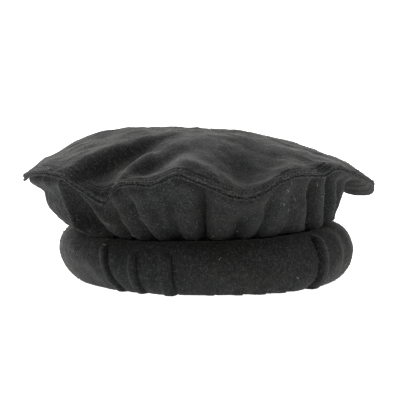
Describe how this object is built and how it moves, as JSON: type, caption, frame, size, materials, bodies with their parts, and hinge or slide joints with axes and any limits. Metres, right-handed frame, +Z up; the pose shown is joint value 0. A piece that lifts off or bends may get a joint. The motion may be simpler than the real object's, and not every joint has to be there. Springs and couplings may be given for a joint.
{
  "type": "pakol",
  "caption": "Soft round cap of thick wool felt: a flat ruffled crown over a gathered side wall, with its lower length rolled up into a thick brim.",
  "frame": {"origin": "on the surface that the rolled brim rests on, under the middle of the crown", "axes": "+Z up, the front is -Y, +X is to the right as the front is looked at"},
  "size_m": [0.2867, 0.2802, 0.1223],
  "materials": {
    "wool_felt": "black fulled wool with a short fuzzy nap"
  },
  "bodies": {
    "root": {"crown_disc": "wool_felt", "side_wall": "wool_felt", "rolled_brim": "wool_felt"}
  },
  "joints": []
}
